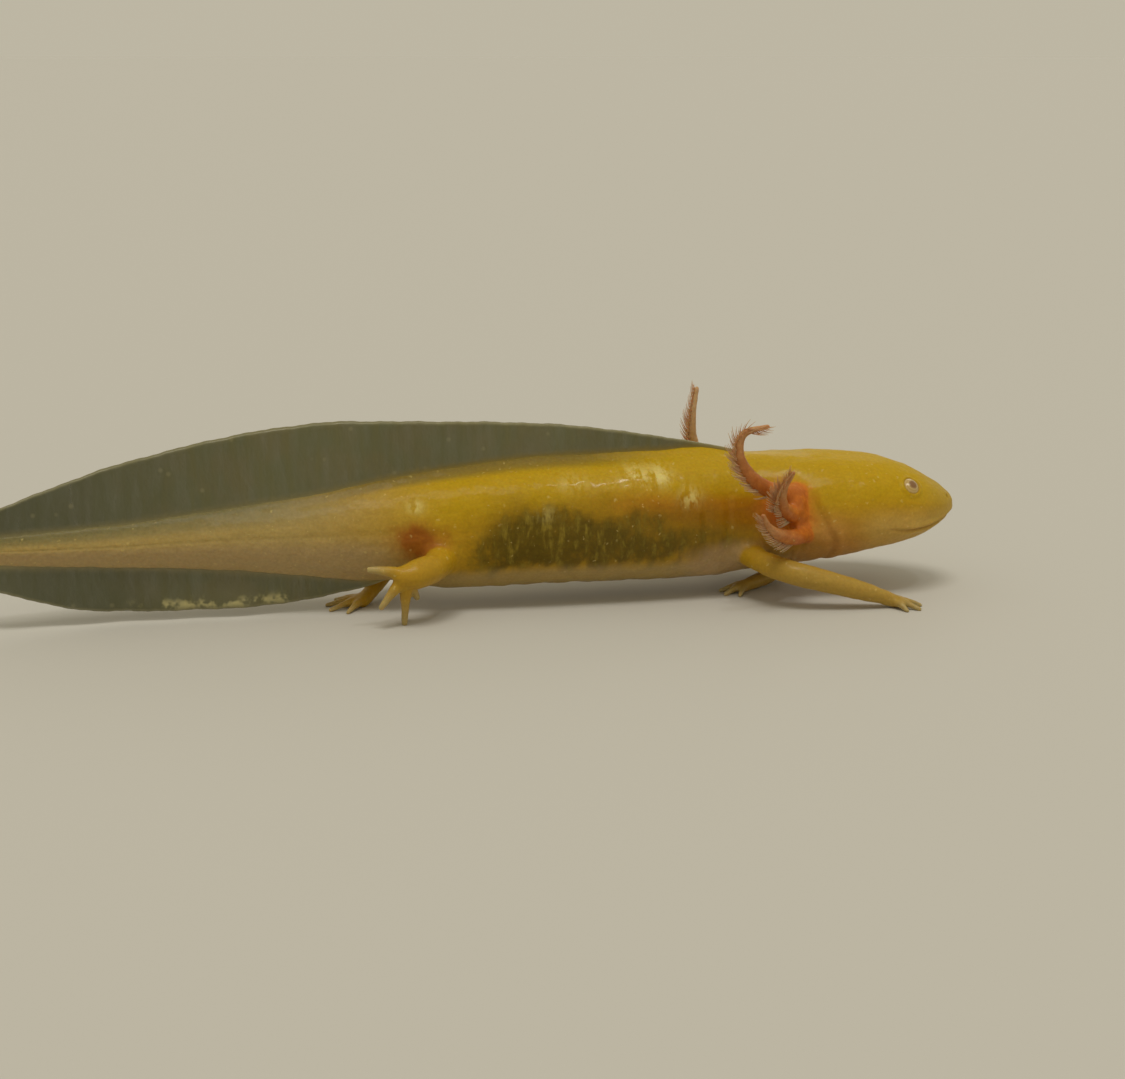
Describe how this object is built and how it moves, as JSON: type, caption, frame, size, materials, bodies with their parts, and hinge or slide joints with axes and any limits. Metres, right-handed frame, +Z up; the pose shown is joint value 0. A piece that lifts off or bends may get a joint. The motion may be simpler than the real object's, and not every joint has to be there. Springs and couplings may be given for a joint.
{
  "type": "albino axolotl",
  "caption": "Young golden albino axolotl as a still life-size model: slim body on four feet, feathery gills, tall thin fin along back and tail.",
  "frame": {"origin": "on the floor, under the middle of the whole box", "axes": "+X along the trunk to the snout, +Y to the animal's left, +Z up from the floor"},
  "size_m": [0.1184, 0.0276, 0.0229],
  "materials": {
    "skin": "wet, smooth golden yellow skin",
    "fin": "wet, thin smoky olive membrane",
    "gill": "wet, soft reddish brown flesh",
    "eye": "clear and glossy, with a pale ring round a grey-mauve pupil"
  },
  "bodies": {
    "root": {"head": "skin", "left_eye": "eye", "right_eye": "eye", "torso": "skin", "tail": "skin", "back_fin": "fin", "tail_fin_upper": "fin", "tail_fin_lower": "fin", "left_gill_1": "gill", "left_gill_2": "gill", "left_gill_3": "gill", "right_gill_1": "gill", "right_gill_2": "gill", "right_gill_3": "gill", "left_front_leg": "skin", "right_front_leg": "skin", "left_hind_leg": "skin", "right_hind_leg": "skin"}
  },
  "joints": []
}
